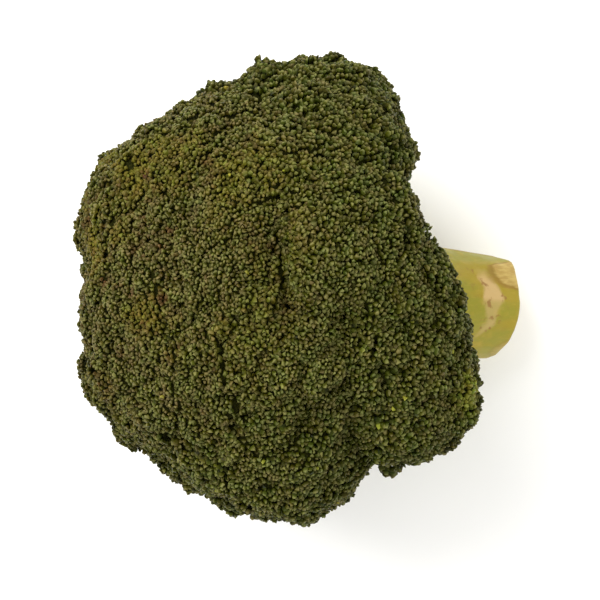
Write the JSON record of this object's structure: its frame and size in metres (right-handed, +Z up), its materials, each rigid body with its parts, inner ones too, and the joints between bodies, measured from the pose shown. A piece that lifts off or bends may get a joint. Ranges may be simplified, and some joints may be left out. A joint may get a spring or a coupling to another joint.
{
  "type": "broccoli head",
  "caption": "Broccoli head with a tight domed crown of florets on short branches and a thick cut stalk, lying on its side.",
  "frame": {"origin": "on the surface it lies on, under the centre of its bounding box", "axes": "+Z up; +X along the ground the way the cut stalk points; the crown faces -X and up; +Y across the crown"},
  "size_m": [0.1632, 0.167, 0.1542],
  "materials": {
    "florets": "matt, tight green flower buds with a yellow and reddish-brown tint towards the top",
    "branches": "smooth pale green, faintly waxy",
    "stalk": "smooth yellow-green, moist, paler where it is cut or trimmed"
  },
  "bodies": {
    "root": {"stalk": "stalk", "top_branch": "branches", "upper_01_branch": "branches", "upper_02_branch": "branches", "upper_03_branch": "branches", "upper_04_branch": "branches", "upper_05_branch": "branches", "upper_06_branch": "branches", "side_01_branch": "branches", "side_02_branch": "branches", "side_03_branch": "branches", "side_04_branch": "branches", "side_05_branch": "branches", "side_06_branch": "branches", "side_07_branch": "branches", "side_08_branch": "branches", "side_09_branch": "branches", "side_10_branch": "branches", "rim_01_branch": "branches", "rim_02_branch": "branches", "rim_03_branch": "branches", "rim_04_branch": "branches", "rim_05_branch": "branches", "rim_06_branch": "branches", "rim_07_branch": "branches", "rim_08_branch": "branches", "rim_09_branch": "branches", "rim_10_branch": "branches", "rim_11_branch": "branches", "rim_12_branch": "branches", "top_floret": "florets", "upper_01_floret": "florets", "upper_02_floret": "florets", "upper_03_floret": "florets", "upper_04_floret": "florets", "upper_05_floret": "florets", "upper_06_floret": "florets", "side_01_floret": "florets", "side_02_floret": "florets", "side_03_floret": "florets", "side_04_floret": "florets", "side_05_floret": "florets", "side_06_floret": "florets", "side_07_floret": "florets", "side_08_floret": "florets", "side_09_floret": "florets", "side_10_floret": "florets", "rim_01_floret": "florets", "rim_02_floret": "florets", "rim_03_floret": "florets", "rim_04_floret": "florets", "rim_05_floret": "florets", "rim_06_floret": "florets", "rim_07_floret": "florets", "rim_08_floret": "florets", "rim_09_floret": "florets", "rim_10_floret": "florets", "rim_11_floret": "florets", "rim_12_floret": "florets"}
  },
  "joints": []
}
